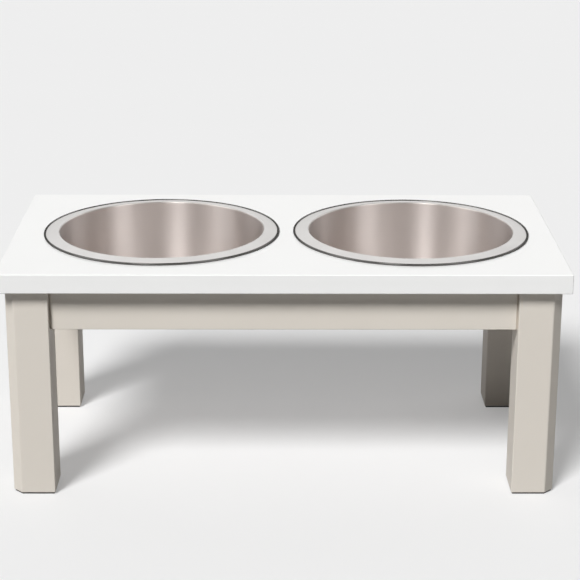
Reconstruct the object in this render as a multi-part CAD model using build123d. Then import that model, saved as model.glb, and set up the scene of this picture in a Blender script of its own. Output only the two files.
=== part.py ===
from build123d import *
from math import acos, asin, atan2, cos, degrees, hypot, radians, sin, sqrt
import os

# Elevated pet feeder: two straight-sided steel bowls hang by their flanges in a painted board,
# which stands on four square legs. Set-back aprons and corner blocks tie the legs together, and
# each leg is drawn into its corner by a hanger bolt.
# Sizes are in millimetres. +X runs to the right, +Y to the rear and +Z up. The origin is on the
# floor, under the middle of the board.

# Bowls, drawn from sheet, with a rolled edge that rests on the board
RIM_RADIUS = 114.0
FLANGE_WIDTH = 15.5
BOWL_DEPTH = 68.0
SHEET = 0.8
FOOT_RADIUS = 13.0
LIP_RADIUS = 2.0
LIP_HEIGHT = 3.4
BEAD_RADIUS = 1.1
BEAD_STAND = 0.8

# How many flat bands each round stretch of the bowl's section is drawn in
FOOT_BAND_COUNT = 3
LIP_BAND_COUNT = 2
BEAD_BAND_COUNT = 3
UNDER_BEAD_BAND_COUNT = 1

# How far to the right and to the rear each loose bowl rests from the middle of its hole
LEFT_BOWL_REST = (2.3, 1.2)
RIGHT_BOWL_REST = (2.6, 0.0)

# Board, laid out round the bowls
RIM_GAP = 13.0
RIM_TO_END = 25.5
RIM_TO_FRONT = 26.0
BOARD_THICKNESS = 18.0
HOLE_CLEARANCE = 3.2

# Legs, with a broad flat down the outer corner of each
LEG_WIDTH = 40.0
LEG_LENGTH = 200.0
LEG_OUTER_FLAT = 8.5
LEG_INNER_FLAT = 7.0
END_OVERHANG = 6.0
FRONT_OVERHANG = 11.0
PAD_THICKNESS = 1.5
PAD_INSET = 1.2

# Aprons, set back from the faces of the legs
APRON_HEIGHT = 40.0
APRON_THICKNESS = 15.0
APRON_SETBACK = 6.0

# Corner blocks, across the inside of each corner
BLOCK_THICKNESS = 18.0
BLOCK_SHORT_OF_APRON = 4.0
BLOCK_TO_LEG_GAP = 2.0

# Hanger bolts, with a flanged nut on each
BOLT_RADIUS = 3.0
BOLT_HOLE_CLEARANCE = 0.5
BOLT_DEPTH_IN_LEG = 28.0
BOLT_TAIL = 3.0
NUT_ACROSS_FLATS = 10.0
NUT_HEIGHT = 6.0
NUT_FLANGE_RADIUS = 7.0
NUT_FLANGE_THICKNESS = 1.6

# Small flats along the edges of the painted wood
WOOD_EASE = 0.6

# Places that follow from the sizes above
MOUTH_RADIUS = RIM_RADIUS - FLANGE_WIDTH
HOLE_RADIUS = MOUTH_RADIUS + SHEET + HOLE_CLEARANCE
BOWL_X = RIM_RADIUS + RIM_GAP / 2
BOARD_LENGTH = 2 * (BOWL_X + RIM_RADIUS + RIM_TO_END)
BOARD_DEPTH = 2 * (RIM_RADIUS + RIM_TO_FRONT)
BOARD_UNDERSIDE = PAD_THICKNESS + LEG_LENGTH
BOARD_TOP = BOARD_UNDERSIDE + BOARD_THICKNESS
LEG_X = BOARD_LENGTH / 2 - END_OVERHANG - LEG_WIDTH / 2
LEG_Y = BOARD_DEPTH / 2 - FRONT_OVERHANG - LEG_WIDTH / 2
INNER_X = LEG_X - LEG_WIDTH / 2
INNER_Y = LEG_Y - LEG_WIDTH / 2
APRON_OFFSET = LEG_WIDTH / 2 - APRON_SETBACK - APRON_THICKNESS / 2
APRON_BASE = BOARD_UNDERSIDE - APRON_HEIGHT
BOLT_LEVEL = BOARD_UNDERSIDE - APRON_HEIGHT / 2
BLOCK_HEIGHT = APRON_HEIGHT - BLOCK_SHORT_OF_APRON
BLOCK_BASE = BOARD_UNDERSIDE - BLOCK_HEIGHT

# Distances outwards along a corner's diagonal, from the inner corner of its leg
APRON_REACH = sqrt(2) * (LEG_WIDTH - APRON_SETBACK - APRON_THICKNESS)
BLOCK_OUTER = LEG_INNER_FLAT - BLOCK_TO_LEG_GAP
BLOCK_INNER = BLOCK_OUTER - BLOCK_THICKNESS
BOLT_OUTER = LEG_INNER_FLAT + BOLT_DEPTH_IN_LEG
BOLT_INNER = BLOCK_INNER - NUT_HEIGHT - BOLT_TAIL

# Each corner's name, with the signs of its X and Y
CORNERS = {
    "front_left": (-1, -1),
    "front_right": (1, -1),
    "rear_left": (-1, 1),
    "rear_right": (1, 1),
}
UPWARDS = (Align.CENTER, Align.CENTER, Align.MIN)


def at_corner(shape, signs):
    """Mirror a shape made at the rear right corner to the corner with these signs."""
    sign_x, sign_y = signs
    if sign_x < 0:
        shape = shape.mirror(Plane.YZ)
    if sign_y < 0:
        shape = shape.mirror(Plane.XZ)
    return shape


def at_all_corners(shape):
    """The shape at all four corners, as one group of separate solids."""
    return Compound(children=[at_corner(shape, signs) for signs in CORNERS.values()])


def diagonal(height):
    """The leg's inner corner, with local X outwards along the diagonal and local Z up."""
    return Location((INNER_X, INNER_Y, height), (0, 0, 45))


def bolt_line(distance):
    """A place on the bolt's line, with local Z pointing outwards along it."""
    return diagonal(BOLT_LEVEL) * Pos(distance, 0, 0) * Rot(0, 90, 0)


def eased_box(length, depth, height):
    """A box that stands at height 0, with small flats along its edges."""
    box = Box(length, depth, height, align=UPWARDS)
    return chamfer(box.edges(), WOOD_EASE)


def arc_points(centre, radius, start, end, bands):
    """Points along an arc from one angle to another, in degrees, both ends included."""
    angles = [radians(start + (end - start) * step / bands) for step in range(bands + 1)]
    return [(centre[0] + radius * cos(a), centre[1] + radius * sin(a)) for a in angles]


def make_bowl():
    """A bowl turned from the section of its sheet, with the board's top at height 0."""
    foot = (MOUTH_RADIUS - FOOT_RADIUS, FOOT_RADIUS + SHEET - BOWL_DEPTH)
    lip = (MOUTH_RADIUS + LIP_RADIUS, LIP_HEIGHT - LIP_RADIUS)
    bead = (RIM_RADIUS - BEAD_RADIUS, BEAD_RADIUS)
    # The flange falls straight from the lip to the bead, which stands a little above its end
    run, drop = bead[0] - lip[0], lip[1] - bead[1]
    over_bead = BEAD_RADIUS - BEAD_STAND
    slope = asin((LIP_RADIUS - over_bead) / hypot(run, drop)) + atan2(drop, run)
    flange_up = 90 - degrees(slope)
    # The bead is a roll that starts at the flange's top and closes on its underside
    bead_start = flange_up + degrees(acos(over_bead / BEAD_RADIUS))
    bead_end = flange_up + degrees(acos((over_bead - SHEET) / BEAD_RADIUS)) - 360
    # Under the lip the flange's underside meets the wall's outer face in a corner
    inset = LIP_RADIUS - SHEET
    under_lip = (lip[0] - inset, lip[1] + inset * (1 + sin(slope)) / cos(slope))
    section = [
        (0, SHEET - BOWL_DEPTH),
        *arc_points(foot, FOOT_RADIUS, -90, 0, FOOT_BAND_COUNT),
        *arc_points(lip, LIP_RADIUS, 180, flange_up, LIP_BAND_COUNT),
        *arc_points(bead, BEAD_RADIUS, bead_start, 0, BEAD_BAND_COUNT),
        *arc_points(bead, BEAD_RADIUS, -90, bead_end, UNDER_BEAD_BAND_COUNT),
        under_lip,
        *arc_points(foot, FOOT_RADIUS + SHEET, 0, -90, FOOT_BAND_COUNT),
        (0, -BOWL_DEPTH),
    ]
    return revolve(make_face(Plane.XZ * Polyline(*section, close=True)), Axis.Z)


def make_hanger_bolt():
    """A hanger bolt at its corner, from the free end of its thread to its end in the leg."""
    return bolt_line(BOLT_INNER) * Cylinder(BOLT_RADIUS, BOLT_OUTER - BOLT_INNER, align=UPWARDS)


def make_nut():
    """A hex nut whose flange is flat on the inner face of the corner block."""
    hexagon = RegularPolygon(NUT_ACROSS_FLATS / 2, 6, major_radius=False)
    nut = extrude(hexagon, NUT_HEIGHT)
    nut += Pos(0, 0, NUT_HEIGHT) * extrude(Circle(NUT_FLANGE_RADIUS), -NUT_FLANGE_THICKNESS)
    nut -= Cylinder(BOLT_RADIUS, NUT_HEIGHT, align=UPWARDS)
    return bolt_line(BLOCK_INNER - NUT_HEIGHT) * nut


def leg_section():
    """The square of a leg about its own middle, with the broad flat on the outer corner."""
    half = LEG_WIDTH / 2
    points = [
        (-half, -half),
        (half, -half),
        (half, half - LEG_OUTER_FLAT),
        (half - LEG_OUTER_FLAT, half),
        (-half, half),
    ]
    return make_face(Polyline(*points, close=True))


def make_leg(bolt):
    """A leg with its inner corner cut flat beside the block, bored for its hanger bolt."""
    post = extrude(leg_section(), LEG_LENGTH)
    leg = Pos(LEG_X, LEG_Y, PAD_THICKNESS) * chamfer(post.edges(), WOOD_EASE)
    cutter = Box(LEG_WIDTH, LEG_WIDTH, APRON_HEIGHT, align=(Align.MAX, Align.CENTER, Align.MIN))
    leg -= diagonal(APRON_BASE) * Pos(LEG_INNER_FLAT, 0, 0) * cutter
    return leg - bolt


def make_foot_pad():
    """A thin pad under a leg, a little smaller than the leg's foot."""
    outline = offset(leg_section(), -PAD_INSET, kind=Kind.INTERSECTION)
    return Pos(LEG_X, LEG_Y, 0) * extrude(outline, PAD_THICKNESS)


def make_block():
    """A corner block whose ends lie flat on the aprons, bored for the hanger bolt."""
    outer_half = APRON_REACH - BLOCK_OUTER
    inner_half = APRON_REACH - BLOCK_INNER
    points = [
        (BLOCK_OUTER, outer_half),
        (BLOCK_INNER, inner_half),
        (BLOCK_INNER, -inner_half),
        (BLOCK_OUTER, -outer_half),
    ]
    block = extrude(make_face(Polyline(*points, close=True)), BLOCK_HEIGHT)
    bore = Cylinder(BOLT_RADIUS + BOLT_HOLE_CLEARANCE, BLOCK_THICKNESS, align=UPWARDS)
    return diagonal(BLOCK_BASE) * block - bolt_line(BLOCK_INNER) * bore


def make_apron(length):
    """An apron along X, about its own middle, with its top against the board."""
    return Pos(0, 0, APRON_BASE) * eased_box(length, APRON_THICKNESS, APRON_HEIGHT)


def make_board():
    """The board, with a round hole for each bowl."""
    board = Pos(0, 0, BOARD_UNDERSIDE) * eased_box(BOARD_LENGTH, BOARD_DEPTH, BOARD_THICKNESS)
    for side in (-1, 1):
        hole = Cylinder(HOLE_RADIUS, BOARD_THICKNESS, align=UPWARDS)
        board -= Pos(side * BOWL_X, 0, BOARD_UNDERSIDE) * hole
    return board


bolt = make_hanger_bolt()
corner_pieces = {
    "leg": make_leg(bolt),
    "foot_pad": make_foot_pad(),
    "corner_block": make_block(),
}
long_apron = make_apron(2 * INNER_X)
short_apron = Rot(0, 0, 90) * make_apron(2 * INNER_Y)
bowl = make_bowl()

nodes = {
    "top_board": make_board(),
    "hanger_bolts": at_all_corners(bolt),
    "bolt_nuts": at_all_corners(make_nut()),
}
for corner, signs in CORNERS.items():
    for piece, shape in corner_pieces.items():
        nodes[f"{piece}_{corner}"] = at_corner(shape, signs)
for name, side in (("front", -1), ("rear", 1)):
    nodes[f"apron_{name}"] = Pos(0, side * (LEG_Y + APRON_OFFSET), 0) * long_apron
for name, side, rest in (("left", -1, LEFT_BOWL_REST), ("right", 1, RIGHT_BOWL_REST)):
    nodes[f"apron_{name}"] = Pos(side * (LEG_X + APRON_OFFSET), 0, 0) * short_apron
    nodes[f"bowl_{name}"] = Pos(side * BOWL_X + rest[0], rest[1], BOARD_TOP) * bowl

os.makedirs("parts", exist_ok=True)
for name, shape in nodes.items():
    shape.label = name
    export_step(shape, f"parts/{name}.step")
print(f"board {BOARD_LENGTH} x {BOARD_DEPTH}, top at {BOARD_TOP}, nodes {len(nodes)}")
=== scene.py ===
# %% [markdown]
# # An elevated pet feeder
#
# Two drawn steel bowls hang by their flanges in a white board. Four square legs in a warm grey paint
# carry the board, and four aprons and corner blocks hold the legs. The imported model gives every
# piece its size and place, and this lesson gives each one its finish and its fine shape.
# Sizes here are in metres, +X runs to the right, +Y to the rear and +Z up.

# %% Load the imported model
import math

import bmesh
import bpy
from mathutils import Matrix, Vector


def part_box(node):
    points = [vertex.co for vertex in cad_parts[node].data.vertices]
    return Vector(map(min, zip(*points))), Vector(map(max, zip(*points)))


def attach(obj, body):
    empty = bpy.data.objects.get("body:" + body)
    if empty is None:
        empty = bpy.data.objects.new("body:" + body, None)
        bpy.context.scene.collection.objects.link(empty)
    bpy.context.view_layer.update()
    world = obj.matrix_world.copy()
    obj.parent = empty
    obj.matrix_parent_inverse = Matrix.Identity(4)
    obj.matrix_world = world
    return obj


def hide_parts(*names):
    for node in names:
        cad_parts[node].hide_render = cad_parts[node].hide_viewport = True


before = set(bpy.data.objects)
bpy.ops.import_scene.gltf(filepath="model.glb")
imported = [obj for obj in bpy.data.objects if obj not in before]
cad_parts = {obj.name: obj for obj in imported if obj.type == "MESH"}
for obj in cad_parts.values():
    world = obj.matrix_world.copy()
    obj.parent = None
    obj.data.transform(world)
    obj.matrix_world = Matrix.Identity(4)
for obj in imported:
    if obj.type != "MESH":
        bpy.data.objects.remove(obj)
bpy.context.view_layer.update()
MM = 0.001
print("nodes in the packed model:", len(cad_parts))

# %% [markdown]
# ## Camera
#
# The photograph looks down on the feeder by 18 degrees with a long lens, so its lines hardly
# converge. The place and the angles were worked out from the board's four corners, the legs and
# both rims. A matrix made of one move and three turns keeps each of those numbers readable.

# %% Place the camera
CAMERA_PLACE = (-0.00568, -1.61566, 0.68507)
CAMERA_PITCH = 18.004
CAMERA_YAW = 0.427
CAMERA_ROLL = 0.189
LENS = 107.31
NEAREST_SEEN = 0.05
FARTHEST_SEEN = 200


def new_object(name, data):
    """A new object with this data, in the scene."""
    made = bpy.data.objects.new(name, data)
    bpy.context.scene.collection.objects.link(made)
    return made


camera = new_object("camera", bpy.data.cameras.new("camera"))
camera.data.lens = LENS
camera.data.clip_start = NEAREST_SEEN
camera.data.clip_end = FARTHEST_SEEN
camera.matrix_world = (
    Matrix.Translation(CAMERA_PLACE)
    @ Matrix.Rotation(math.radians(-CAMERA_YAW), 4, "Z")
    @ Matrix.Rotation(math.radians(90 - CAMERA_PITCH), 4, "X")
    @ Matrix.Rotation(math.radians(CAMERA_ROLL), 4, "Z")
)
bpy.context.scene.camera = camera
bpy.context.scene.view_settings.view_transform = "Standard"
print("camera at", tuple(round(value, 3) for value in camera.matrix_world.translation))

# %% [markdown]
# ## Helpers for node trees
#
# Every finish and every shape below is a small node tree. One helper adds a node, sets its
# options, and either sets or links each of its inputs, so that a tree reads from top to bottom.
# Sums, products and the like come up most often, so they have a shorter form of their own.

# %% Helpers that add one node
def add_node(tree, kind, inputs=(), **settings):
    """Add a node. Inputs maps a socket's name or number to a value or to another socket."""
    node = tree.nodes.new(kind)
    for name, value in settings.items():
        setattr(node, name, value)
    for name, value in dict(inputs).items():
        if isinstance(value, bpy.types.NodeSocket):
            tree.links.new(value, node.inputs[name])
        else:
            node.inputs[name].default_value = value
    return node


def maths(tree, operation, *numbers):
    """The result of an operation on numbers, each a value or a socket."""
    inputs = dict(enumerate(numbers))
    return add_node(tree, "ShaderNodeMath", inputs, operation=operation).outputs[0]


def vector_maths(tree, operation, *vectors, **scale):
    """The Vector and the Value that an operation on vectors, or on a vector and a Scale, gives."""
    inputs = {**dict(enumerate(vectors)), **scale}
    return add_node(tree, "ShaderNodeVectorMath", inputs, operation=operation).outputs


# %% [markdown]
# The finishes share a few steps: a noise sets how the surface varies, two colours are blended by
# it, its values are mapped to a range of roughness, and its heights become a fine relief. Each step
# is a short function, and the last one joins the results to the shader. A noise seldom leaves the
# middle of its range, so where a finish should vary more, it is mapped from there.

# %% Helpers that make up a finish
NOISE_REACH = (0.3, 0.7)


def new_finish(name):
    """A new material and its tree."""
    finish = bpy.data.materials.new(name)
    finish.use_nodes = True
    return finish, finish.node_tree


def object_place(tree):
    """The place on the piece, in metres."""
    return add_node(tree, "ShaderNodeTexCoord").outputs["Object"]


def grain_place(tree):
    """The place along and across the grain, in metres."""
    return add_node(tree, "ShaderNodeAttribute", attribute_name="grain").outputs["Vector"]


def stretched(tree, place, scale):
    """A place stretched by a scale, which draws a noise out into streaks."""
    return add_node(tree, "ShaderNodeMapping", {"Vector": place, "Scale": scale}).outputs[0]


def noise(tree, place, scale=1, detail=2, roughness=0.5):
    """A noise that varies from 0 to 1 and has this many finer layers of detail."""
    inputs = {"Vector": place, "Scale": scale, "Detail": detail, "Roughness": roughness}
    return add_node(tree, "ShaderNodeTexNoise", inputs).outputs


def blend(tree, factor, first, second):
    """A colour that goes from the first to the second as the factor grows."""
    inputs = {"Factor": factor, "A": (*first, 1), "B": (*second, 1)}
    return add_node(tree, "ShaderNodeMix", inputs, data_type="RGBA").outputs["Result"]


def mapped(tree, value, to_range, from_range=(0, 1)):
    """A value mapped from one range to another."""
    low, high = to_range
    start, end = from_range
    inputs = {"Value": value, "From Min": start, "From Max": end, "To Min": low, "To Max": high}
    return add_node(tree, "ShaderNodeMapRange", inputs).outputs[0]


def relief(tree, height, depth, coarser=None):
    """The normal of a fine relief of this depth, laid over a coarser relief if there is one."""
    inputs = {"Height": height, "Strength": 1, "Distance": depth}
    if coarser is not None:
        inputs["Normal"] = coarser
    return add_node(tree, "ShaderNodeBump", inputs).outputs[0]


def set_shader(tree, color, roughness, normal, constants=()):
    """Link a finish's colour, roughness and normal, and set what is the same all over it."""
    shader = tree.nodes["Principled BSDF"]
    for name, output in (("Base Color", color), ("Roughness", roughness), ("Normal", normal)):
        tree.links.new(output, shader.inputs[name])
    for name, value in dict(constants).items():
        shader.inputs[name].default_value = value
    return shader


# %% [markdown]
# ## Floor
#
# The floor is a plain pale sheet that fills the whole frame, so one level plane is enough. It isn't
# part of the feeder. In the photograph it is nearly white, and yet it throws little light up under
# the board. So its material looks at the kind of ray: the camera and the steel see pale paper with a
# faint glow, which keeps the shadow from going dark, and light that bounces on finds a greyer sheet.

# %% Lay the floor
FLOOR_HALF = 40
PAPER = (0.88, 0.88, 0.88, 1)
BOUNCE = (0.34, 0.34, 0.34, 1)
PAPER_GLOW = 0.30


def ray_kinds(tree):
    """Whether a ray comes from the camera, and whether a shiny or clear surface sends it."""
    rays = add_node(tree, "ShaderNodeLightPath").outputs
    mirrored = maths(tree, "MAXIMUM", rays["Is Glossy Ray"], rays["Is Transmission Ray"])
    return rays["Is Camera Ray"], mirrored


def mixed_shader(tree, factor, first, second):
    """The first shader where the factor is 0, and the second where it is 1."""
    return add_node(tree, "ShaderNodeMixShader", {0: factor, 1: first, 2: second}).outputs[0]


floor_mesh = bpy.data.meshes.new("floor")
sheet_corners = [(-1, -1), (1, -1), (1, 1), (-1, 1)]
floor_mesh.from_pydata(
    [(x * FLOOR_HALF, y * FLOOR_HALF, 0) for x, y in sheet_corners], [], [(0, 1, 2, 3)]
)
floor = new_object("floor", floor_mesh)
floor_paper, paper = new_finish("floor_paper")
paper.nodes.clear()
from_camera, mirrored = ray_kinds(paper)
looked_at = maths(paper, "MAXIMUM", from_camera, mirrored)
pale = add_node(paper, "ShaderNodeBsdfDiffuse", {"Color": PAPER}).outputs[0]
glow = add_node(paper, "ShaderNodeEmission", {"Color": PAPER, "Strength": 1}).outputs[0]
grey = add_node(paper, "ShaderNodeBsdfDiffuse", {"Color": BOUNCE}).outputs[0]
lightened = mixed_shader(paper, PAPER_GLOW, pale, glow)
by_ray = mixed_shader(paper, looked_at, grey, lightened)
add_node(paper, "ShaderNodeOutputMaterial", {"Surface": by_ray})
floor_mesh.materials.append(floor_paper)
print("floor half size", FLOOR_HALF, "m")

# %% [markdown]
# ## Light
#
# The shadows in the photograph tell where its lamp is. The board's overhang throws a short shadow on
# the legs and the apron, one flat of each leg is bright and the other dark, and the shadow on the
# floor lies behind the feeder and to its right. All of them mean one soft lamp, to the left of the
# camera and about halfway up. A sun lamp with a wide disc gives such soft edges at any distance.
# It is hidden from the steel, which would show it as a hard disc.

# %% Key lamp
KEY_AZIMUTH = -29
KEY_ELEVATION = 46
KEY_WIDTH = 19
KEY_STRENGTH = 3.55


def towards(azimuth, elevation):
    """The direction of a lamp, with azimuth 0 in front of the feeder, growing to the right."""
    side = math.radians(azimuth)
    level = math.cos(math.radians(elevation))
    height = math.sin(math.radians(elevation))
    return Vector((math.sin(side) * level, -math.cos(side) * level, height))


key = new_object("key", bpy.data.lights.new("key", "SUN"))
key.data.energy = KEY_STRENGTH
key.data.angle = math.radians(KEY_WIDTH)
key.rotation_euler = towards(KEY_AZIMUTH, KEY_ELEVATION).to_track_quat("Z", "Y").to_euler()
key.visible_glossy = False
print("key from azimuth", KEY_AZIMUTH, "elevation", KEY_ELEVATION)

# %% [markdown]
# The world has two jobs. To matt surfaces it is a pale wall behind the feeder, which lights its back
# and its top and leaves the front to the lamp. To shiny surfaces it is the studio: the same wall,
# bright from above the horizon to high overhead, with a dim room round it. Satin paint and the
# bowls' flanges mirror that wall. The dim room darkens the bowls' rolled edges, and a painted dark
# reflection in the bead's colour makes their line darker still.

# %% World
WALL_FILL = 0.45
ROOM_FILL = 0.03
FILL_COLOR = (1, 1, 1, 1)
BACKDROP = (0.875, 0.875, 0.875, 1)
WALL_SHINE = (1.45, 1.45, 1.45)
ROOM_SHINE = (0.32, 0.307, 0.294)
WALL_FROM = (0.1, 0.6)
HORIZON = (0.10, 0.42)
CEILING = (0.99, 0.90)

world = bpy.data.worlds.new("studio")
world.use_nodes = True
bpy.context.scene.world = world
sky = world.node_tree
sky.nodes.clear()


def soft_step(value, limits):
    """A smooth step from 0 to 1 between two values of a direction's part."""
    return add_node(
        sky, "ShaderNodeMapRange", {"Value": value, "From Min": limits[0], "From Max": limits[1]},
        interpolation_type="SMOOTHSTEP",
    ).outputs[0]


def background(color, strength=1):
    """Light of this colour from every direction."""
    return add_node(sky, "ShaderNodeBackground", {"Color": color, "Strength": strength}).outputs[0]


sky_direction = add_node(sky, "ShaderNodeTexCoord").outputs["Generated"]
split = add_node(sky, "ShaderNodeSeparateXYZ", {0: sky_direction}).outputs
behind = soft_step(split["Y"], WALL_FROM)
band = maths(sky, "MULTIPLY", soft_step(split["Z"], HORIZON), soft_step(split["Z"], CEILING))
wall = maths(sky, "MULTIPLY", band, behind)
fill = background(FILL_COLOR, mapped(sky, behind, (ROOM_FILL, WALL_FILL)))
shine = background(blend(sky, wall, ROOM_SHINE, WALL_SHINE))
from_camera, mirrored = ray_kinds(sky)
fill_or_shine = mixed_shader(sky, mirrored, fill, shine)
seen = mixed_shader(sky, from_camera, fill_or_shine, background(BACKDROP))
add_node(sky, "ShaderNodeOutputWorld", {"Surface": seen})
print("wall fill", WALL_FILL, "room fill", ROOM_FILL)

# %% [markdown]
# Satin steel shows lamps as broad streaks. In the photograph three streaks run down each bowl's
# wall, and their places give the directions of three tall soft boxes: one a little left of the
# camera, one far to the left and one to the right. They light nothing but reflections.

# %% Soft boxes for the steel
SOFT_BOXES = {
    "front_left": {"azimuth": -22, "elevation": 50, "width": 0.75, "tall": 2.6, "brightness": 3.0},
    "far_left": {"azimuth": -77, "elevation": 45, "width": 1.7, "tall": 4.0, "brightness": 1.45},
    "right": {"azimuth": 52, "elevation": 45, "width": 1.4, "tall": 4.0, "brightness": 1.3},
}
BOX_DISTANCE = 3.0
AIM = Vector((0, 0, 0.2))

for name, box in SOFT_BOXES.items():
    lamp = bpy.data.lights.new(name, "AREA")
    lamp.shape = "RECTANGLE"
    lamp.size = box["width"]
    lamp.size_y = box["tall"]
    lamp.energy = box["brightness"] * math.pi * box["width"] * box["tall"]
    soft_box = new_object(name, lamp)
    direction = towards(box["azimuth"], box["elevation"])
    soft_box.location = AIM + direction * BOX_DISTANCE
    soft_box.rotation_euler = direction.to_track_quat("Z", "Y").to_euler()
    soft_box.visible_diffuse = False
    soft_box.visible_camera = False
print("soft boxes:", len(SOFT_BOXES))

# %% [markdown]
# ## Painted wood
#
# Board, legs and aprons are sprayed with a satin paint. Such a coat is never quite flat: it dries
# with a fine orange peel, it is a little thicker here and there, and the grain of the wood under it
# shows faintly as long shallow streaks. All three come from noise textures. The streaks need to
# know which way the wood runs, so every wooden piece carries that as an attribute. The beige coat is
# duller than the white one, because the sides of the legs hardly mirror the pale floor.

# %% Satin paint
WHITE_THIN = (0.915, 0.915, 0.905)
WHITE_THICK = (0.945, 0.945, 0.935)
BEIGE_THIN = (0.705, 0.656, 0.589)
BEIGE_THICK = (0.745, 0.696, 0.629)
MOTTLE_SCALE = 14
STREAK_SCALE = (12, 420, 420)
PEEL_SCALE = 650
PEEL_DEPTH = 0.012 * MM


def satin_paint(name, thin_color, thick_color, roughness, shine, grain_depth):
    """A satin paint whose tone, gloss and surface vary a little."""
    paint, tree = new_finish(name)
    place = object_place(tree)
    mottle = noise(tree, place, MOTTLE_SCALE, detail=3, roughness=0.55)["Fac"]
    streaks = noise(tree, stretched(tree, grain_place(tree), STREAK_SCALE))["Fac"]
    peel = noise(tree, place, PEEL_SCALE, detail=1)["Fac"]
    set_shader(
        tree, blend(tree, mottle, thin_color, thick_color),
        mapped(tree, mottle, roughness, NOISE_REACH),
        relief(tree, peel, PEEL_DEPTH, coarser=relief(tree, streaks, grain_depth)),
        {"Specular IOR Level": shine},
    )
    return paint


white_paint = satin_paint(
    "white_paint", WHITE_THIN, WHITE_THICK,
    roughness=(0.33, 0.43), shine=0.5, grain_depth=0.004 * MM,
)
beige_paint = satin_paint(
    "beige_paint", BEIGE_THIN, BEIGE_THICK,
    roughness=(0.47, 0.57), shine=0.2, grain_depth=0.014 * MM,
)
print("paints:", white_paint.name, beige_paint.name)

# %% [markdown]
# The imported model's edges are flat little chamfers. Real edges are sanded and then softened by the
# paint, so each wooden piece is a copy of its node with those chamfers rounded by a fine bevel. The
# node's mesh is loose triangles, so the copy is welded and its flat faces are merged first.

# %% Copy a node's mesh, and keep what modifiers make of a piece
WELD_DISTANCE = 0.001 * MM
FLAT_ANGLE = math.radians(0.5)


def mesh_of(shape, name):
    """A mesh with this name, made of a shape that bmesh built."""
    mesh = bpy.data.meshes.new(name)
    shape.to_mesh(mesh)
    shape.free()
    return mesh


def welded_copy(node_name):
    """A new mesh with a node's triangles welded and its flat faces merged."""
    shape = bmesh.new()
    shape.from_mesh(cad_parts[node_name].data)
    bmesh.ops.remove_doubles(shape, verts=shape.verts, dist=WELD_DISTANCE)
    bmesh.ops.dissolve_limit(
        shape, angle_limit=FLAT_ANGLE, verts=shape.verts, edges=shape.edges
    )
    mesh = mesh_of(shape, node_name + "_dressed")
    if "custom_normal" in mesh.attributes:
        mesh.attributes.remove(mesh.attributes["custom_normal"])
    return mesh


def finished_mesh(piece):
    """Turn a piece's modifiers into plain mesh, so that the modifiers can go."""
    graph = bpy.context.evaluated_depsgraph_get()
    mesh = bpy.data.meshes.new_from_object(piece.evaluated_get(graph))
    mesh.name = piece.name
    piece.modifiers.clear()
    piece.data = mesh


# %% [markdown]
# An apron's ends are also sloped at their outer edges. That leaves a small V against each leg, which
# shows in the photograph as a thin dark line at every joint. The welded copy has few points left, so
# those at the edge are simply moved before it is rounded.

# %% Slope the ends of an apron
def slope_ends(mesh, along, slope):
    """Slope the outer upright edges at both ends of a rail, along the X axis (0) or Y axis (1)."""
    across = 1 - along
    end = max(abs(v.co[along]) for v in mesh.vertices)
    near, far = sorted(abs(edge) for edge in (
        min(v.co[across] for v in mesh.vertices), max(v.co[across] for v in mesh.vertices)
    ))
    for point in mesh.vertices:
        place = point.co
        if abs(place[along]) < end / 2 or abs(place[across]) < (near + far) / 2:
            continue
        # A point on the end moves inwards, one on the side moves back, and one between does half of both
        on_end = abs(place[along]) > end - WELD_DISTANCE
        on_side = abs(place[across]) > far - WELD_DISTANCE
        if not on_side:
            place[across] -= math.copysign(slope if on_end else slope / 2, place[across])
        if not on_end:
            place[along] -= math.copysign(slope if on_side else slope / 2, place[along])


# %% Round the edges of a piece
SHARP_ANGLE = math.radians(20)
ROUND_SEGMENTS = 3


def rounded_piece(node_name, name, width, end_slope=None):
    """A welded copy of a node whose sharp edges are rounded over by this width."""
    piece = new_object(name, welded_copy(node_name))
    if end_slope:
        slope_ends(piece.data, *end_slope)
    bevel = piece.modifiers.new("round_over", "BEVEL")
    bevel.width = width
    bevel.segments = ROUND_SEGMENTS
    bevel.limit_method = "ANGLE"
    bevel.angle_limit = SHARP_ANGLE
    bevel.harden_normals = True
    for face in piece.data.polygons:
        face.use_smooth = True
    finished_mesh(piece)
    return piece


# %% [markdown]
# The grain attribute holds, for each point, its distance along the piece and its place across it.
# Board and front aprons run along X, side aprons along Y, legs upright, and a corner block along
# its own slope.

# %% Give each wooden piece its grain and its paint
ROUND_OVER = 0.28 * MM
JOINT_SLOPE = 1.3 * MM
AXES = ((1, 0, 0), (0, 1, 0), (0, 0, 1))
APRON_AXIS = {"front": 0, "rear": 0, "left": 1, "right": 1}


def store_grain(piece, along):
    """Store the place along and across the grain at each point of a piece."""
    along = Vector(along).normalized()
    across = along.orthogonal().normalized()
    third = along.cross(across)
    places = piece.data.attributes.new("grain", "FLOAT_VECTOR", "POINT")
    for point, place in zip(piece.data.vertices, places.data):
        place.vector = (point.co.dot(along), point.co.dot(across), point.co.dot(third))


def wooden_piece(node_name, along, finish, end_slope=None):
    """A rounded copy of a wooden node that stands for it, in its own finish."""
    piece = rounded_piece(node_name, node_name + "_wood", ROUND_OVER, end_slope)
    store_grain(piece, along)
    piece.data.materials.clear()
    piece.data.materials.append(finish)
    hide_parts(node_name)
    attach(piece, "stand")
    return piece


CORNERS = {
    "front_left": (-1, -1), "front_right": (1, -1), "rear_left": (-1, 1), "rear_right": (1, 1),
}
painted = [wooden_piece("top_board", AXES[0], white_paint)]
for side, axis in APRON_AXIS.items():
    ends = (axis, JOINT_SLOPE)
    painted.append(wooden_piece("apron_" + side, AXES[axis], beige_paint, ends))
for corner in CORNERS:
    painted.append(wooden_piece("leg_" + corner, AXES[2], beige_paint))
print("painted pieces:", len(painted))

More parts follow.
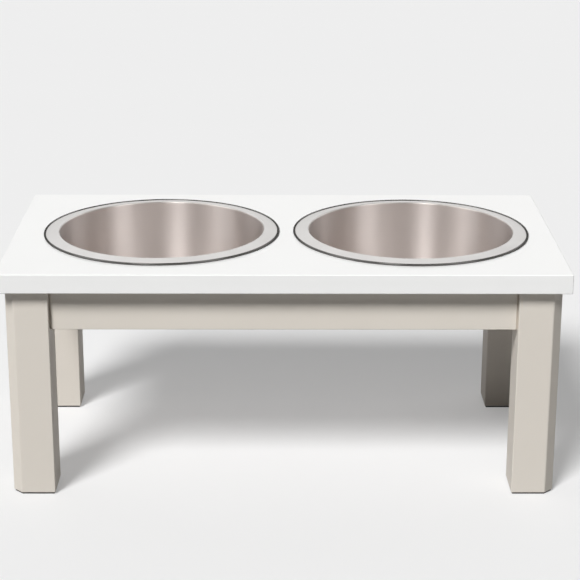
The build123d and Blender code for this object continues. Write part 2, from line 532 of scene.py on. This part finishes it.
# %% [markdown]
# ## Corner blocks
#
# The blocks across the inside of each corner are bare pine. Pine shows its growth rings as bands
# that run along the piece: each ring is pale early wood that darkens to a narrow line of late wood.
# The rings are circles round the tree's middle, which lies well outside a small block, so the
# finish reads the distance from such a line in the grain coordinates, bent a little by noise.

# %% Bare pine
EARLY_WOOD = (0.80, 0.63, 0.42)
LATE_WOOD = (0.64, 0.44, 0.25)
RING_WIDTH = 3.2 * MM
RING_WANDER = 9 * MM
RING_SHARPNESS = 3
WANDER_SCALE = (9, 40, 40)
PITH_PLACE = (0, 0.06, 0.03)
FIBRE_SCALE = (60, 2600, 2600)
FIBRE_DEPTH = 0.04 * MM
FIBRE_TONE = (0.86, 1.1)
PINE_ROUGHNESS = (0.55, 0.78)

bare_pine, pine = new_finish("bare_pine")
pine_grain = grain_place(pine)
wander = noise(pine, stretched(pine, pine_grain, WANDER_SCALE))["Color"]
bend = vector_maths(pine, "SCALE", wander, Scale=RING_WANDER)["Vector"]
bent_grain = vector_maths(pine, "ADD", pine_grain, bend)["Vector"]
from_pith = add_node(
    pine, "ShaderNodeMapping", {"Vector": bent_grain, "Location": PITH_PLACE, "Scale": (0, 1, 1)}
).outputs[0]
pith_distance = vector_maths(pine, "LENGTH", from_pith)["Value"]
ring_part = maths(pine, "FRACT", maths(pine, "DIVIDE", pith_distance, RING_WIDTH))
late = maths(pine, "POWER", ring_part, RING_SHARPNESS)
fibres = noise(pine, stretched(pine, pine_grain, FIBRE_SCALE), detail=3)["Fac"]
rings = blend(pine, late, EARLY_WOOD, LATE_WOOD)
toned = vector_maths(pine, "SCALE", rings, Scale=mapped(pine, fibres, FIBRE_TONE))["Vector"]
set_shader(pine, toned, mapped(pine, fibres, PINE_ROUGHNESS), relief(pine, fibres, FIBRE_DEPTH))

for corner, (sign_x, sign_y) in CORNERS.items():
    wooden_piece("corner_block_" + corner, (sign_y, -sign_x, 0), bare_pine)
print("pine blocks:", len(CORNERS))

# %% [markdown]
# ## Foot pads
#
# A thin dark pad under each leg keeps it off the floor. It is a matt rubber with a fine pebble.

# %% Rubber pads
RUBBER_DARK = (0.045, 0.042, 0.04)
RUBBER_LIGHT = (0.075, 0.07, 0.066)
RUBBER_ROUGHNESS = (0.75, 0.95)
PEBBLE_SCALE = 1400
PEBBLE_DEPTH = 0.05 * MM
PAD_ROUND_OVER = 0.25 * MM

pad_rubber, rubber = new_finish("pad_rubber")
pebble = noise(rubber, object_place(rubber), PEBBLE_SCALE)["Fac"]
set_shader(
    rubber, blend(rubber, pebble, RUBBER_DARK, RUBBER_LIGHT),
    mapped(rubber, pebble, RUBBER_ROUGHNESS), relief(rubber, pebble, PEBBLE_DEPTH),
)
for corner in CORNERS:
    pad = rounded_piece("foot_pad_" + corner, "foot_pad_" + corner + "_rubber", PAD_ROUND_OVER)
    pad.data.materials.clear()
    pad.data.materials.append(pad_rubber)
    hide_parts("foot_pad_" + corner)
    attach(pad, "stand")
print("pads:", len(CORNERS))

# %% [markdown]
# ## Bowls
#
# Each bowl is drawn from one sheet of steel: a flat floor, a round foot, a straight wall, a round
# lip, a flange that falls gently outwards, and a rolled bead that rests on the board. All of that
# follows one rule, a section turned round an upright line, so Geometry Nodes can make it. The
# section is written as the corners of its lines, each with the radius that rounds it.

# %% The bowl's sizes and its section
RIM_RADIUS = 114 * MM
FLANGE_WIDTH = 15.5 * MM
BOWL_DEPTH = 68 * MM
SHEET = 0.8 * MM
FOOT_RADIUS = 13 * MM
LIP_RADIUS = 2 * MM
LIP_HEIGHT = 3.37 * MM
BEAD_RADIUS = 1.1 * MM
BEAD_STAND = 1.1 * MM
BEAD_ARCS = 4
FLANGE_END = 3


def arc_corners(centre, radius, start, end, arcs):
    """The corners that an arc's own tangents make, each to be rounded by the arc's radius."""
    turn = (end - start) / arcs
    reach = radius / math.cos(turn / 2)
    angles = [start + (arc + 0.5) * turn for arc in range(arcs)]
    return [
        (centre[0] + reach * math.cos(a), centre[1] + reach * math.sin(a), radius) for a in angles
    ]


def bowl_section():
    """Corners of the bowl's sheet as radius, height over the board and rounding."""
    mouth = RIM_RADIUS - FLANGE_WIDTH
    lip = (mouth + LIP_RADIUS, LIP_HEIGHT - LIP_RADIUS)
    bead = (RIM_RADIUS - BEAD_RADIUS, BEAD_RADIUS)
    run, drop = bead[0] - lip[0], lip[1] - bead[1]
    over_bead = BEAD_RADIUS - BEAD_STAND
    slope = math.asin((LIP_RADIUS - over_bead) / math.hypot(run, drop)) + math.atan2(drop, run)
    flange_up = math.pi / 2 - slope
    bead_start = flange_up + math.acos(over_bead / BEAD_RADIUS)
    bead_end = flange_up + math.acos((over_bead - SHEET) / BEAD_RADIUS) - 2 * math.pi
    rise = (1 + math.sin(slope)) / math.cos(slope)
    inner = LIP_RADIUS - SHEET

    def on_bead(angle):
        """A point of the bead's circle, with no rounding."""
        return bead[0] + BEAD_RADIUS * math.cos(angle), bead[1] + BEAD_RADIUS * math.sin(angle), 0

    return [
        (0, SHEET - BOWL_DEPTH, 0),
        (mouth, SHEET - BOWL_DEPTH, FOOT_RADIUS),
        (mouth, lip[1] + LIP_RADIUS * rise, LIP_RADIUS),
        on_bead(bead_start),
        *arc_corners(bead, BEAD_RADIUS, bead_start, bead_end, BEAD_ARCS),
        on_bead(bead_end),
        (mouth + SHEET, lip[1] + inner * rise, inner),
        (mouth + SHEET, -BOWL_DEPTH, FOOT_RADIUS + SHEET),
        (0, -BOWL_DEPTH, 0),
    ]


section = bowl_section()
flange_radius = RIM_RADIUS - FLANGE_WIDTH + LIP_RADIUS / 4
crease_radius = section[FLANGE_END][0]
print("section corners:", len(section), "crease at", round(crease_radius / MM, 2), "mm")

# %% [markdown]
# The tree rounds the section's corners, lays a flat grid with one row for each point of the
# rounded section, and bends the grid round the bowl's middle. The grid's own two directions become
# the piece's UV map, one round the bowl and one along the section, and the brushed finish follows
# it. At the end the seam and the two middles are merged.

# %% The tree that turns a section
CREASE_ANGLE = math.radians(30)


def new_tree(name, inputs):
    """A Geometry Nodes tree with named inputs and one geometry output."""
    tree = bpy.data.node_groups.new(name, "GeometryNodeTree")
    for label, kind in inputs.items():
        tree.interface.new_socket(label, in_out="INPUT", socket_type="NodeSocket" + kind)
    tree.interface.new_socket("Result", in_out="OUTPUT", socket_type="NodeSocketGeometry")
    return tree, tree.nodes.new("NodeGroupInput").outputs


def with_finish(tree, shape, finish, where=True):
    """A shape in this finish, all over or where a condition holds."""
    inputs = {"Geometry": shape, "Selection": where, "Material": finish}
    return add_node(tree, "GeometryNodeSetMaterial", inputs).outputs[0]


def welded(tree, shape):
    """A shape whose seams and ends are closed."""
    inputs = {"Geometry": shape, "Distance": WELD_DISTANCE}
    return add_node(tree, "GeometryNodeMergeByDistance", inputs).outputs[0]


def turned_section(tree, given):
    """The section with its corners rounded, turned round the middle and closed."""
    rounding = add_node(tree, "GeometryNodeInputNamedAttribute", {"Name": "rounding"})
    line = add_node(tree, "GeometryNodeMeshToCurve", {"Mesh": given["Section"]})
    rounded = add_node(tree, "GeometryNodeFilletCurve", {
        "Curve": line.outputs[0], "Radius": rounding.outputs["Attribute"],
        "Count": given["Corner Points"],
    }, mode="POLY").outputs[0]
    size = add_node(tree, "GeometryNodeAttributeDomainSize", {0: rounded}, component="CURVE")
    point_count = size.outputs["Point Count"]
    grid = add_node(tree, "GeometryNodeMeshGrid", {
        "Size X": 1, "Size Y": 1, "Vertices X": maths(tree, "ADD", given["Steps Round"], 1),
        "Vertices Y": point_count,
    })
    position = add_node(tree, "GeometryNodeInputPosition").outputs[0]
    across = add_node(tree, "ShaderNodeSeparateXYZ", {0: position}).outputs
    round_part = maths(tree, "SUBTRACT", 0.5, across["X"])
    row_part = maths(tree, "ADD", across["Y"], 0.5)
    last_row = maths(tree, "SUBTRACT", point_count, 1)
    row = maths(tree, "ROUND", maths(tree, "MULTIPLY", row_part, last_row))
    point = add_node(
        tree, "GeometryNodeSampleIndex", {"Geometry": rounded, "Value": position, "Index": row},
        data_type="FLOAT_VECTOR",
    )
    length_part = add_node(tree, "GeometryNodeSplineParameter").outputs["Factor"]
    travelled = add_node(
        tree, "GeometryNodeSampleIndex", {"Geometry": rounded, "Value": length_part, "Index": row}
    )
    uv = add_node(tree, "ShaderNodeCombineXYZ", {"X": round_part, "Y": travelled.outputs[0]})
    with_uv = add_node(
        tree, "GeometryNodeStoreNamedAttribute",
        {"Geometry": grid.outputs["Mesh"], "Name": "UVMap", "Value": uv.outputs[0]},
        data_type="FLOAT2", domain="CORNER",
    )
    place = add_node(tree, "ShaderNodeSeparateXYZ", {0: point.outputs[0]}).outputs
    upright = add_node(tree, "ShaderNodeCombineXYZ", {"X": place["X"], "Z": place["Z"]})
    turned = add_node(
        tree, "ShaderNodeVectorRotate",
        {"Vector": upright.outputs[0], "Angle": maths(tree, "MULTIPLY", round_part, math.tau)},
        rotation_type="Z_AXIS",
    )
    moved = vector_maths(tree, "ADD", turned.outputs[0], given["Middle"])["Vector"]
    bent = add_node(
        tree, "GeometryNodeSetPosition", {"Geometry": with_uv.outputs[0], "Position": moved}
    )
    return welded(tree, bent.outputs[0])


def creased(tree, shape):
    """A shape shaded smooth, but for the edges where it folds sharply."""
    smooth = add_node(
        tree, "GeometryNodeSetShadeSmooth", {"Geometry": shape, "Shade Smooth": True},
        domain="FACE",
    )
    edge_angle = add_node(tree, "GeometryNodeInputMeshEdgeAngle").outputs[0]
    fold = add_node(
        tree, "FunctionNodeCompare", {0: edge_angle, 1: CREASE_ANGLE}, operation="GREATER_THAN"
    )
    return add_node(
        tree, "GeometryNodeSetShadeSmooth",
        {"Geometry": smooth.outputs[0], "Selection": fold.outputs[0], "Shade Smooth": False},
        domain="EDGE",
    ).outputs[0]


def finished_by_radius(tree, given, shape):
    """A bowl in the sheet's finish, and further out in the flange's and then in the bead's."""
    position = add_node(tree, "GeometryNodeInputPosition").outputs[0]
    from_middle = vector_maths(tree, "SUBTRACT", position, given["Middle"])["Vector"]
    level = vector_maths(tree, "MULTIPLY", from_middle, (1, 1, 0))["Vector"]
    radius = vector_maths(tree, "LENGTH", level)["Value"]
    finished = with_finish(tree, shape, given["Sheet Finish"])
    for part in ("Flange", "Bead"):
        beyond = add_node(
            tree, "FunctionNodeCompare", {0: radius, 1: given[part + " Starts"]},
            operation="GREATER_THAN",
        ).outputs[0]
        finished = with_finish(tree, finished, given[part + " Finish"], where=beyond)
    return finished


def turning_tree():
    """Rounds a section's corners and turns it round an upright line."""
    tree, given = new_tree("turn_a_bowl", {
        "Section": "Geometry", "Middle": "Vector", "Steps Round": "Int", "Corner Points": "Int",
        "Flange Starts": "Float", "Bead Starts": "Float", "Sheet Finish": "Material",
        "Flange Finish": "Material", "Bead Finish": "Material",
    })
    shape = creased(tree, turned_section(tree, given))
    real = add_node(tree, "GeometryNodeRealizeInstances", {"Geometry": shape}).outputs[0]
    add_node(tree, "NodeGroupOutput", {0: finished_by_radius(tree, given, real)})
    return tree


turn_a_bowl = turning_tree()
print("nodes in the turning tree:", len(turn_a_bowl.nodes))

# %% [markdown]
# ## Steel
#
# The sheet is satin: it was brushed while it span, so its fine scratches run round the bowl. Such
# scratches spread a reflection across themselves, which is what makes the tall streaks on the wall.
# Anisotropy on the shader does that, with its direction taken from the UV map. The flange is
# blasted to an even grey and hardly mirrors anything. The rolled bead is smooth, and its colour is
# painted darker than the steel: a painted dark reflection, which draws the thin dark line round
# each bowl. Metal turns brighter at a grazing angle, so the bead's tint there is painted dark too,
# or its far side would show no line.

# %% Satin sheet, blasted flange, and smooth bead painted dark
SHEET_TONE = (0.83, 0.775, 0.75)
FLANGE_TONE = (0.66, 0.65, 0.64)
# The bead's tone and its grazing tint are painted dark: a painted dark reflection that draws its
# outline.
BEAD_PAINTED_DARK_TONE = (0.16, 0.156, 0.152)
BEAD_PAINTED_DARK_GRAZING = (0.4, 0.4, 0.4, 1)
WHITE = (1, 1, 1, 1)
SCRATCH_SCALE = (5, 900, 1)
SCRATCH_DEPTH = 0.002 * MM
SCRATCH_SHADE = 0.95
HAZE_SCALE = 30
HAZE = 0.12
HAZE_REACH = (0.7, 1.3)
QUARTER_TURN = 0.25


def steel(name, base, roughness, spread, scratch_depth=SCRATCH_DEPTH, grazing=WHITE):
    """Stainless steel with scratches that run round the bowl."""
    finish, tree = new_finish(name)
    uv = add_node(tree, "ShaderNodeUVMap", uv_map="UVMap").outputs[0]
    scratches = noise(tree, stretched(tree, uv, SCRATCH_SCALE), detail=4)["Fac"]
    haze = maths(tree, "ADD", scratches, noise(tree, object_place(tree), HAZE_SCALE)["Fac"])
    hazy_range = (roughness * (1 - HAZE), roughness * (1 + HAZE))
    shaded = [SCRATCH_SHADE * part for part in base]
    shader = set_shader(
        tree, blend(tree, scratches, shaded, base), mapped(tree, haze, hazy_range, HAZE_REACH),
        relief(tree, scratches, scratch_depth),
        {"Metallic": 1, "Anisotropic": spread, "Anisotropic Rotation": QUARTER_TURN,
         "Specular Tint": grazing},
    )
    round_bowl = add_node(tree, "ShaderNodeTangent", direction_type="UV_MAP", uv_map="UVMap")
    tree.links.new(round_bowl.outputs[0], shader.inputs["Tangent"])
    return finish


satin_steel = steel("satin_steel", SHEET_TONE, roughness=0.40, spread=0.95)
flange_steel = steel("flange_steel", FLANGE_TONE, roughness=0.58, spread=0.3)
# The bead's steel carries a painted dark reflection in its colour and in its grazing tint.
bead_steel = steel(
    "bead_steel", BEAD_PAINTED_DARK_TONE, roughness=0.15, spread=0.3,
    scratch_depth=SCRATCH_DEPTH / 4, grazing=BEAD_PAINTED_DARK_GRAZING,
)
print("steels:", satin_steel.name, flange_steel.name, bead_steel.name)

# %% [markdown]
# Each bowl starts as its bare section and gets the tree as a modifier. The result becomes a plain
# mesh before the modifier goes, because the model is exported without modifiers.

# %% Turn both bowls
STEPS_ROUND = 180
CORNER_POINTS = 9


def set_inputs(modifier, values):
    """Set a tree's inputs by the identifiers of their sockets."""
    for item in modifier.node_group.interface.items_tree:
        if item.name in values:
            modifier[item.identifier] = values[item.name]


def section_mesh(name, corners):
    """A line of edges through a section's corners, with each corner's rounding."""
    mesh = bpy.data.meshes.new(name)
    links = [(number, number + 1) for number in range(len(corners) - 1)]
    mesh.from_pydata([(radius, 0, height) for radius, height, _ in corners], links, [])
    rounding = mesh.attributes.new("rounding", "FLOAT", "POINT")
    rounding.data.foreach_set("value", [corner[2] for corner in corners])
    return mesh


for side in ("left", "right"):
    node_low, node_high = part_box("bowl_" + side)
    middle = (node_low + node_high) / 2
    middle.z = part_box("top_board")[1].z
    bowl = new_object("bowl_" + side + "_steel", section_mesh("section", section))
    turning = bowl.modifiers.new("turning", "NODES")
    turning.node_group = turn_a_bowl
    set_inputs(turning, {
        "Middle": tuple(middle), "Steps Round": STEPS_ROUND, "Corner Points": CORNER_POINTS,
        "Flange Starts": flange_radius, "Bead Starts": crease_radius,
        "Sheet Finish": satin_steel, "Flange Finish": flange_steel, "Bead Finish": bead_steel,
    })
    finished_mesh(bowl)
    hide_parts("bowl_" + side)
    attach(bowl, side + "_bowl")
    print(bowl.name, "faces", len(bowl.data.polygons), "height",
          round((max(v.co.z for v in bowl.data.vertices) - middle.z) / MM, 2), "mm over the board")

# %% [markdown]
# ## Fasteners
#
# A hanger bolt goes through each corner block into its leg, and a flanged nut pulls the leg home.
# Small screws hold each block to its aprons and to the board. All of them are zinc plated: a thin
# bright coat with a faint blue cast and fine dull spots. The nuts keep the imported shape, and their
# edges are rounded like the pads'.

# %% Zinc plate, and the nuts in it
ZINC_BLUE = (0.58, 0.61, 0.66)
ZINC_YELLOW = (0.68, 0.67, 0.63)
ZINC_ROUGHNESS = (0.26, 0.48)
SPOT_SCALE = 700
SPOT_DEPTH = 0.006 * MM
CAST_SCALE = 90
NUT_ROUND_OVER = 0.18 * MM

zinc_plate, zinc = new_finish("zinc_plate")
zinc_place = object_place(zinc)
spots = noise(zinc, zinc_place, SPOT_SCALE, detail=3)["Fac"]
cast = noise(zinc, zinc_place, CAST_SCALE, detail=1)["Fac"]
set_shader(
    zinc, blend(zinc, cast, ZINC_BLUE, ZINC_YELLOW),
    mapped(zinc, spots, ZINC_ROUGHNESS, NOISE_REACH), relief(zinc, spots, SPOT_DEPTH),
    {"Metallic": 1},
)


def zinc_piece(piece):
    """Plate a piece of the stand with zinc."""
    piece.data.materials.clear()
    piece.data.materials.append(zinc_plate)
    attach(piece, "stand")
    print(piece.name, "faces", len(piece.data.polygons))


nuts = rounded_piece("bolt_nuts", "bolt_nuts_zinc", NUT_ROUND_OVER)
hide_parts("bolt_nuts")
zinc_piece(nuts)

# %% [markdown]
# A thread is a rule too. Rows of points climb the rod by one pitch a turn, so that a row's end
# meets the row one turn further on, and each row's own number says whether it is on a crest or in
# a valley. The first rows are pressed flat, because a bolt is sawn off square. The same tree makes
# the bolts and the screws: a rod gets its head, if it has one, and is set at every point of a small
# mesh, turned to the direction stored there.

# %% The tree that threads a rod and sets it in place
BLUNT_TIP = 0.1
FLAT_ROWS = 1.5


def threaded_rod(tree, given):
    """A rod whose rows of points climb by one pitch a turn, closed at both ends."""
    rows_per_turn = given["Rows per Turn"]
    step = maths(tree, "DIVIDE", given["Pitch"], rows_per_turn)
    half_step = maths(tree, "DIVIDE", step, 2)
    turns = maths(tree, "ADD", maths(tree, "DIVIDE", given["Length"], given["Pitch"]), 1)
    last_row = maths(tree, "ROUND", maths(tree, "MULTIPLY", turns, rows_per_turn))
    grid = add_node(tree, "GeometryNodeMeshGrid", {
        "Size X": 1, "Size Y": 1, "Vertices X": maths(tree, "ADD", given["Steps Round"], 1),
        "Vertices Y": maths(tree, "ADD", last_row, 1),
    })
    position = add_node(tree, "GeometryNodeInputPosition").outputs[0]
    across = add_node(tree, "ShaderNodeSeparateXYZ", {0: position}).outputs
    round_part = maths(tree, "ADD", across["X"], 0.5)
    row_part = maths(tree, "ADD", across["Y"], 0.5)
    row = maths(tree, "ROUND", maths(tree, "MULTIPLY", row_part, last_row))
    to_turn_end = maths(tree, "SUBTRACT", round_part, 1)
    turn_climb = maths(tree, "MULTIPLY", to_turn_end, given["Pitch"])
    climbed = maths(tree, "ADD", maths(tree, "MULTIPLY", row, step), turn_climb)
    lifted = maths(tree, "SUBTRACT", climbed, maths(tree, "MULTIPLY", step, FLAT_ROWS))
    on_end_face = maths(tree, "LESS_THAN", lifted, 0)
    phase = maths(tree, "FRACT", maths(tree, "DIVIDE", row, rows_per_turn))
    flank = maths(tree, "ABSOLUTE", maths(tree, "SUBTRACT", maths(tree, "MULTIPLY", phase, 2), 1))
    valley = maths(tree, "MAXIMUM", flank, on_end_face)
    cut_depth = maths(tree, "MULTIPLY", valley, given["Depth"])
    threaded = maths(tree, "SUBTRACT", given["Radius"], cut_depth)
    to_go = maths(tree, "SUBTRACT", given["Length"], climbed)
    narrowing = maths(tree, "DIVIDE", to_go, given["Point Length"])
    taper = maths(tree, "MINIMUM", maths(tree, "ADD", narrowing, BLUNT_TIP), 1)
    past_start = maths(tree, "GREATER_THAN", climbed, half_step)
    before_end = maths(tree, "GREATER_THAN", to_go, half_step)
    between_ends = maths(tree, "MULTIPLY", past_start, before_end)
    spread = maths(tree, "MULTIPLY", maths(tree, "MULTIPLY", threaded, taper), between_ends)
    past_end = maths(tree, "SUBTRACT", 1, before_end)
    end_height = maths(tree, "MULTIPLY", past_end, given["Length"])
    over_end = maths(tree, "MULTIPLY", maths(tree, "MAXIMUM", lifted, 0), between_ends)
    height = maths(tree, "ADD", over_end, end_height)
    upright = add_node(tree, "ShaderNodeCombineXYZ", {"X": spread, "Z": height}).outputs[0]
    turned = add_node(
        tree, "ShaderNodeVectorRotate",
        {"Vector": upright, "Angle": maths(tree, "MULTIPLY", round_part, math.tau)},
        rotation_type="Z_AXIS",
    )
    wound = add_node(
        tree, "GeometryNodeSetPosition",
        {"Geometry": grid.outputs["Mesh"], "Position": turned.outputs[0]},
    )
    return welded(tree, wound.outputs[0])


def threading_tree():
    """A threaded rod with its head, set at every place and turned to its aim."""
    tree, given = new_tree("threaded_fasteners", {
        "Places": "Geometry", "Head": "Object", "Radius": "Float", "Length": "Float",
        "Pitch": "Float", "Depth": "Float", "Point Length": "Float", "Steps Round": "Int",
        "Rows per Turn": "Int", "Finish": "Material",
    })
    head = add_node(tree, "GeometryNodeObjectInfo", {"Object": given["Head"]})
    whole = add_node(tree, "GeometryNodeJoinGeometry")
    for part in (threaded_rod(tree, given), head.outputs["Geometry"]):
        tree.links.new(part, whole.inputs[0])
    aim = add_node(
        tree, "GeometryNodeInputNamedAttribute", {"Name": "aim"}, data_type="FLOAT_VECTOR"
    )
    aimed = add_node(
        tree, "FunctionNodeAlignRotationToVector", {"Vector": aim.outputs["Attribute"]}, axis="Z"
    )
    placed = add_node(
        tree, "GeometryNodeInstanceOnPoints",
        {"Points": given["Places"], "Instance": whole.outputs[0], "Rotation": aimed.outputs[0]},
    )
    real = add_node(tree, "GeometryNodeRealizeInstances", {"Geometry": placed.outputs[0]})
    add_node(tree, "NodeGroupOutput", {0: with_finish(tree, real.outputs[0], given["Finish"])})
    return tree


threaded_fasteners = threading_tree()
print("nodes in the threading tree:", len(threaded_fasteners.nodes))

# %% [markdown]
# The bolts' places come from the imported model: each corner's diagonal, the level of the nuts, and
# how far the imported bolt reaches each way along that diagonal.

# %% Places at the four corners
BLOCK_HALF_WIDTH = 45 * MM
CORNER_REACH = 60 * MM


def diagonal(corner):
    """A corner's inner leg edge at floor level, with the outward and sideways directions there."""
    sign_x, sign_y = CORNERS[corner]
    low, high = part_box("leg_" + corner)
    edge = Vector((min(low.x, high.x, key=abs), min(low.y, high.y, key=abs), 0))
    outward = Vector((sign_x, sign_y, 0)).normalized()
    sideways = Vector((-sign_y, sign_x, 0)).normalized() * sign_x * sign_y
    return edge, outward, sideways


def reach(node_name, corner):
    """How far a node reaches inwards and outwards along one corner's diagonal."""
    edge, outward, sideways = diagonal(corner)
    points = [v.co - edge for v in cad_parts[node_name].data.vertices]
    distances = [p.dot(outward) for p in points if abs(p.dot(sideways)) < BLOCK_HALF_WIDTH]
    near = [d for d in distances if abs(d) < CORNER_REACH]
    return min(near), max(near)


# %% Set threaded fasteners at a list of places
def fasteners(name, places, sizes, head=None):
    """Threaded pieces at a list of places, each a point and the direction it is driven in."""
    mesh = bpy.data.meshes.new(name)
    mesh.from_pydata([place for place, _ in places], [], [])
    aims = mesh.attributes.new("aim", "FLOAT_VECTOR", "POINT")
    for (_, direction), item in zip(places, aims.data):
        item.vector = direction
    piece = new_object(name, mesh)
    threading = piece.modifiers.new("threading", "NODES")
    threading.node_group = threaded_fasteners
    set_inputs(threading, {**sizes, "Head": head, "Finish": zinc_plate})
    finished_mesh(piece)
    return piece


# %% [markdown]
# The bolts are 6 mm thick. A real one has a machine thread for its nut and a coarse wood thread in
# the leg, but the second is buried in the wood, so the machine thread simply runs on to its end.

# %% Hanger bolts
BOLT_RADIUS = 3.0 * MM
BOLT_PITCH = 1.0 * MM
BOLT_THREAD_DEPTH = 0.55 * MM
BOLT_POINT = 1.5 * MM
BOLT_STEPS_ROUND = 32
ROWS_PER_TURN = 4

nut_low, nut_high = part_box("bolt_nuts")
bolt_level = (nut_low.z + nut_high.z) / 2
bolt_places = []
for corner in CORNERS:
    edge, outward, _ = diagonal(corner)
    bolt_start, bolt_end = reach("hanger_bolts", corner)
    bolt_places.append((edge + outward * bolt_start + Vector((0, 0, bolt_level)), outward))
print("bolts reach from", round(bolt_start / MM, 1), "to", round(bolt_end / MM, 1), "mm")

bolts = fasteners("hanger_bolts_zinc", bolt_places, {
    "Radius": BOLT_RADIUS, "Length": bolt_end - bolt_start, "Pitch": BOLT_PITCH,
    "Depth": BOLT_THREAD_DEPTH, "Point Length": BOLT_POINT, "Steps Round": BOLT_STEPS_ROUND,
    "Rows per Turn": ROWS_PER_TURN,
})
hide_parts("hanger_bolts")
zinc_piece(bolts)

# %% [markdown]
# Each screw has a pan head with a cross recess, as a driver bit leaves it. The head is a section
# turned round, and the recess is cut by two crossed blades.

# %% Screw heads
HEAD_RADIUS = 3.8 * MM
HEAD_HEIGHT = 2.3 * MM
CROWN_RADIUS = 0.8 * HEAD_HEIGHT
RECESS_WIDTH = 0.9 * MM
RECESS_SPAN = 4.6 * MM
RECESS_BOTTOM = 0.6 * RECESS_SPAN
RECESS_DEPTH = 1.4 * MM
ROUND_STEPS = 8
TURN_STEPS = 48


def pan_head():
    """A screw's head, its top downwards, that ends at the level 0, where its rod starts."""
    outline = [(0, -HEAD_HEIGHT)]
    for number in range(ROUND_STEPS + 1):
        turn = math.pi / 2 * number / ROUND_STEPS
        radius = HEAD_RADIUS - CROWN_RADIUS * (1 - math.sin(turn))
        outline.append((radius, CROWN_RADIUS * (1 - math.cos(turn)) - HEAD_HEIGHT))
    outline += [(HEAD_RADIUS, 0), (0, 0)]
    shape = bmesh.new()
    line = [shape.verts.new((radius, 0, height)) for radius, height in outline]
    edges = [shape.edges.new(pair) for pair in zip(line, line[1:])]
    bmesh.ops.spin(
        shape, geom=line + edges, cent=(0, 0, 0), axis=(0, 0, 1), angle=math.tau, steps=TURN_STEPS
    )
    bmesh.ops.remove_doubles(shape, verts=shape.verts, dist=WELD_DISTANCE)
    bmesh.ops.recalc_face_normals(shape, faces=shape.faces)
    return mesh_of(shape, "pan_head")


def blade(name, turn):
    """A flat block that cuts one slot of the recess, narrower at its bottom."""
    shape = bmesh.new()
    bmesh.ops.create_cube(shape, size=1)
    for point in shape.verts:
        point.co.x *= RECESS_SPAN if point.co.z < 0 else RECESS_BOTTOM
        point.co.y *= RECESS_WIDTH
        point.co.z = -HEAD_HEIGHT + 2 * RECESS_DEPTH * point.co.z
    bmesh.ops.rotate(shape, verts=shape.verts, cent=(0, 0, 0), matrix=Matrix.Rotation(turn, 3, "Z"))
    return new_object(name, mesh_of(shape, name))


head = new_object("screw_head", pan_head())
blades = [blade("blade_a", 0), blade("blade_b", math.pi / 2)]
for cutter in blades:
    cut = head.modifiers.new(cutter.name, "BOOLEAN")
    cut.object = cutter
    cut.solver = "EXACT"
finished_mesh(head)
for cutter in blades:
    bpy.data.objects.remove(cutter)
print("screw head faces:", len(head.data.polygons))

# %% [markdown]
# Two screws hold each block to its aprons, one near each end of its sloping face, and one goes up
# through it into the board beside the bolt. They are small and hidden from above, so the packed
# model leaves them out.

# %% Screws
SCREW_RADIUS = 2.0 * MM
SCREW_PITCH = 1.8 * MM
SCREW_THREAD_DEPTH = 0.6 * MM
SCREW_POINT = 4 * MM
SCREW_STEPS_ROUND = 24
BLOCK_SCREW_PLACE = 28 * MM
BLOCK_SCREW_LENGTH = 25 * MM
BOARD_SCREW_PLACE = 15 * MM
BOARD_SCREW_INSET = 9 * MM
BOARD_SCREW_LENGTH = 45 * MM

block_places = []
board_places = []
for corner in CORNERS:
    edge, outward, sideways = diagonal(corner)
    face, _ = reach("corner_block_" + corner, corner)
    block_low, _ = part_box("corner_block_" + corner)
    for side in (-1, 1):
        across_face = sideways * side * BLOCK_SCREW_PLACE
        place = edge + outward * face + across_face + Vector((0, 0, bolt_level))
        block_places.append((place, outward))
    under = edge + outward * (face + BOARD_SCREW_INSET) + sideways * BOARD_SCREW_PLACE
    board_places.append((under + Vector((0, 0, block_low.z)), Vector((0, 0, 1))))
screw_sizes = {
    "Radius": SCREW_RADIUS, "Pitch": SCREW_PITCH, "Depth": SCREW_THREAD_DEPTH,
    "Point Length": SCREW_POINT, "Steps Round": SCREW_STEPS_ROUND, "Rows per Turn": ROWS_PER_TURN,
}
for name, places, length in (
    ("block_screws_zinc", block_places, BLOCK_SCREW_LENGTH),
    ("board_screws_zinc", board_places, BOARD_SCREW_LENGTH),
):
    zinc_piece(fasteners(name, places, {**screw_sizes, "Length": length}, head))
bpy.data.objects.remove(head)

# %% [markdown]
# A closed piece whose faces point outwards encloses a volume above zero. The same sum also tells
# whether a seam was left open, because then its edges have one face only.

# %% Check that the made pieces are closed and face outwards
for name in ("bowl_left_steel", "bowl_right_steel", "hanger_bolts_zinc", "block_screws_zinc",
             "board_screws_zinc", "bolt_nuts_zinc", "top_board_wood"):
    shape = bmesh.new()
    shape.from_mesh(bpy.data.objects[name].data)
    open_edges = sum(1 for edge in shape.edges if len(edge.link_faces) != 2)
    print(name, "volume", round(shape.calc_volume(signed=True) / MM**3), "mm3, open edges", open_edges)
    shape.free()
